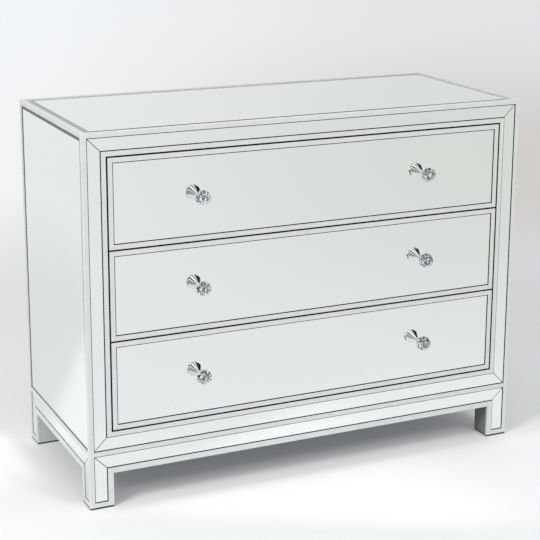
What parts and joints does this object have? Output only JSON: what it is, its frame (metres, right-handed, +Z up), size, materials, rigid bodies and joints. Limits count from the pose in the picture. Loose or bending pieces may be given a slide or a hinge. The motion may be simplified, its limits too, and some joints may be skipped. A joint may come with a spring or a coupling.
{
  "type": "mirrored chest of drawers",
  "caption": "Straight mirrored chest with three full-width drawers, silvered wood trims, bevelled mirror panes and faceted crystal knobs.",
  "frame": {"origin": "on the floor, under the middle of the chest's whole outline with its knobs", "axes": "+X to the right as seen from the front, the long way of the chest; -Y is the way that the drawers open; +Z up"},
  "size_m": [1.05, 0.4922, 0.819],
  "materials": {
    "mirror": "clear silvered glass, polished",
    "silvered_wood": "silver leaf under clear lacquer, satin",
    "painted_post": "silver-grey paint, satin",
    "painted_board": "dark grey paint, matt",
    "drawer_wood": "clear lacquered birch, satin",
    "back_board": "grey stained plywood, matt",
    "crystal": "cut and polished, clear",
    "chrome": "polished",
    "steel": "zinc plated",
    "pad": "dark brown felt"
  },
  "bodies": {
    "case": {"back_panel": "back_board", "back_panel_screws": "steel", "bottom_board": "painted_board", "corner_trims": "silvered_wood", "drawer_dividers": "painted_board", "foot_pads": "pad", "front_apron_rail": "painted_board", "front_base_mirrors": "mirror", "front_frame_mirrors": "mirror", "front_top_rail": "painted_board", "front_trims": "silvered_wood", "left_front_post": "painted_post", "left_rear_post": "painted_post", "left_side_base_mirrors": "mirror", "left_side_mirror": "mirror", "left_side_panel": "painted_board", "left_side_trims": "silvered_wood", "rear_bottom_rail": "painted_board", "rear_top_rail": "painted_board", "right_front_post": "painted_post", "right_rear_post": "painted_post", "right_side_base_mirrors": "mirror", "right_side_mirror": "mirror", "right_side_panel": "painted_board", "right_side_trims": "silvered_wood", "slide_battens": "painted_board", "slide_case_members": "steel", "top_board": "painted_board", "top_mirror": "mirror", "top_trims": "silvered_wood"},
    "drawer_1": {"drawer_1_box_bottom": "drawer_wood", "drawer_1_box_walls": "drawer_wood", "drawer_1_front_board": "painted_board", "drawer_1_knob_crystals": "crystal", "drawer_1_knob_mounts": "chrome", "drawer_1_knob_screws": "steel", "drawer_1_mirror": "mirror", "drawer_1_slide_members": "steel", "drawer_1_trims": "silvered_wood"},
    "slide_1": {"slide_1_middle_members": "steel"},
    "drawer_2": {"drawer_2_box_bottom": "drawer_wood", "drawer_2_box_walls": "drawer_wood", "drawer_2_front_board": "painted_board", "drawer_2_knob_crystals": "crystal", "drawer_2_knob_mounts": "chrome", "drawer_2_knob_screws": "steel", "drawer_2_mirror": "mirror", "drawer_2_slide_members": "steel", "drawer_2_trims": "silvered_wood"},
    "slide_2": {"slide_2_middle_members": "steel"},
    "drawer_3": {"drawer_3_box_bottom": "drawer_wood", "drawer_3_box_walls": "drawer_wood", "drawer_3_front_board": "painted_board", "drawer_3_knob_crystals": "crystal", "drawer_3_knob_mounts": "chrome", "drawer_3_knob_screws": "steel", "drawer_3_mirror": "mirror", "drawer_3_slide_members": "steel", "drawer_3_trims": "silvered_wood"},
    "slide_3": {"slide_3_middle_members": "steel"}
  },
  "joints": [
    {"name": "drawer_1_slide", "type": "slide", "parent": "case", "child": "drawer_1", "axis": [0, -1, 0], "range_m": [0, 0.36]},
    {"name": "slide_1_travel", "type": "slide", "parent": "case", "child": "slide_1", "axis": [0, -1, 0], "range_m": [0, 0.18]},
    {"name": "drawer_2_slide", "type": "slide", "parent": "case", "child": "drawer_2", "axis": [0, -1, 0], "range_m": [0, 0.36]},
    {"name": "slide_2_travel", "type": "slide", "parent": "case", "child": "slide_2", "axis": [0, -1, 0], "range_m": [0, 0.18]},
    {"name": "drawer_3_slide", "type": "slide", "parent": "case", "child": "drawer_3", "axis": [0, -1, 0], "range_m": [0, 0.36]},
    {"name": "slide_3_travel", "type": "slide", "parent": "case", "child": "slide_3", "axis": [0, -1, 0], "range_m": [0, 0.18]}
  ],
  "couplings": [
    {"joint": "slide_1_travel", "follows": "drawer_1_slide", "ratio": 0.5},
    {"joint": "slide_2_travel", "follows": "drawer_2_slide", "ratio": 0.5},
    {"joint": "slide_3_travel", "follows": "drawer_3_slide", "ratio": 0.5}
  ]
}
